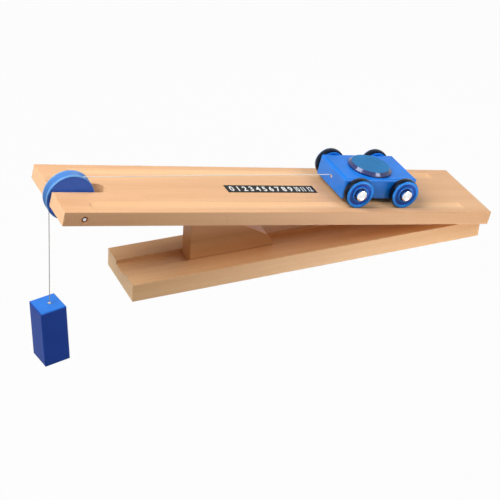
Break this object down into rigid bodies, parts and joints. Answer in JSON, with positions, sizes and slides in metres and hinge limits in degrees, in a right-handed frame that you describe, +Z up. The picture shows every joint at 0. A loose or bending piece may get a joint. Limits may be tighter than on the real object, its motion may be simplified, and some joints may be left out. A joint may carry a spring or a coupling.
{
  "type": "inclined plane",
  "caption": "Beech ramp hinged to a base over a sliding wedge block, with a wheeled car on grooves tied by string over an end pulley to a hanging weight.",
  "frame": {"origin": "middle of the base board's underside", "axes": "+X along the base towards the hinge end, +Y across the boards, +Z up. The ramp rises towards -X."},
  "size_m": [0.6121, 0.119, 0.2604],
  "materials": {
    "beech": "satin clear lacquer",
    "blue_paint": "gloss blue paint",
    "tyre_rubber": "smooth",
    "cap_chrome": "bright",
    "steel": "satin",
    "hinge_brass": "satin",
    "label_black": "gloss",
    "string": "twisted cotton"
  },
  "bodies": {
    "base": {"base_board": "beech", "hinge_leaf_base": "hinge_brass", "hinge_pin": "hinge_brass", "hinge_screws_base": "hinge_brass"},
    "block": {"support_block": "beech"},
    "ramp": {"ramp_board": "beech", "hinge_leaf_ramp": "hinge_brass", "hinge_screws_ramp": "hinge_brass", "label_plate": "label_black", "pulley_axle": "steel", "pulley_washers": "steel", "string_run": "string"},
    "pulley": {"pulley": "blue_paint"},
    "car": {"car_body": "blue_paint", "roof_disc": "blue_paint", "roof_dowel": "beech", "front_axle": "steel", "rear_axle": "steel", "axle_caps": "cap_chrome", "string_peg": "beech"},
    "front_left_wheel": {"wheel_front_left": "blue_paint", "tyre_front_left": "tyre_rubber"},
    "front_right_wheel": {"wheel_front_right": "blue_paint", "tyre_front_right": "tyre_rubber"},
    "rear_left_wheel": {"wheel_rear_left": "blue_paint", "tyre_rear_left": "tyre_rubber"},
    "rear_right_wheel": {"wheel_rear_right": "blue_paint", "tyre_rear_right": "tyre_rubber"},
    "hanger": {"string_wrap": "string"},
    "drop_line": {"string_drop": "string"},
    "weight": {"weight_block": "blue_paint", "weight_peg": "beech"}
  },
  "joints": [
    {"name": "block_slide", "type": "slide", "parent": "base", "child": "block", "axis": [1, 0, 0], "range_m": [0, 0.2]},
    {"name": "ramp_tilt", "type": "hinge", "parent": "base", "child": "ramp", "pos_m": [0.245, 0, 0.02605], "axis": [0, 1, 0], "range_deg": [0, 9.81]},
    {"name": "string_plumb", "type": "hinge", "parent": "ramp", "child": "hanger", "pos_m": [-0.31431, 0, 0.13841], "axis": [0, 1, 0], "range_deg": [-9.81, 0]},
    {"name": "car_roll", "type": "slide", "parent": "ramp", "child": "car", "axis": [-0.9836, 0, 0.1805], "range_m": [-0.089, 0.32], "deforming": ["string_run"]},
    {"name": "pulley_spin", "type": "hinge", "parent": "ramp", "child": "pulley", "pos_m": [-0.31431, 0, 0.13841], "axis": [0, 1, 0], "continuous": true},
    {"name": "front_left_wheel_spin", "type": "hinge", "parent": "car", "child": "front_left_wheel", "pos_m": [0.05603, 0, 0.09881], "axis": [0, 1, 0], "continuous": true},
    {"name": "front_right_wheel_spin", "type": "hinge", "parent": "car", "child": "front_right_wheel", "pos_m": [0.05603, 0, 0.09881], "axis": [0, 1, 0], "continuous": true},
    {"name": "rear_left_wheel_spin", "type": "hinge", "parent": "car", "child": "rear_left_wheel", "pos_m": [0.12291, 0, 0.08653], "axis": [0, 1, 0], "continuous": true},
    {"name": "rear_right_wheel_spin", "type": "hinge", "parent": "car", "child": "rear_right_wheel", "pos_m": [0.12291, 0, 0.08653], "axis": [0, 1, 0], "continuous": true},
    {"name": "weight_drop", "type": "slide", "parent": "hanger", "child": "drop_line", "axis": [0, 0, -1], "range_m": [-0.089, 0.32], "deforming": ["string_drop"]},
    {"name": "weight_swing", "type": "hinge", "parent": "drop_line", "child": "weight", "pos_m": [-0.3386, 0, -0.01009], "axis": [0, 1, 0], "range_deg": [-20, 20]}
  ],
  "couplings": [
    {"joint": "ramp_tilt", "follows": "block_slide", "rad_per_m": 0.8518},
    {"joint": "string_plumb", "follows": "block_slide", "rad_per_m": -0.8518},
    {"joint": "pulley_spin", "follows": "car_roll", "rad_per_m": -41.152},
    {"joint": "weight_drop", "follows": "car_roll", "ratio": 1},
    {"joint": "front_left_wheel_spin", "follows": "car_roll", "rad_per_m": -50.251},
    {"joint": "front_right_wheel_spin", "follows": "car_roll", "rad_per_m": -50.251},
    {"joint": "rear_left_wheel_spin", "follows": "car_roll", "rad_per_m": -50.251},
    {"joint": "rear_right_wheel_spin", "follows": "car_roll", "rad_per_m": -50.251}
  ]
}
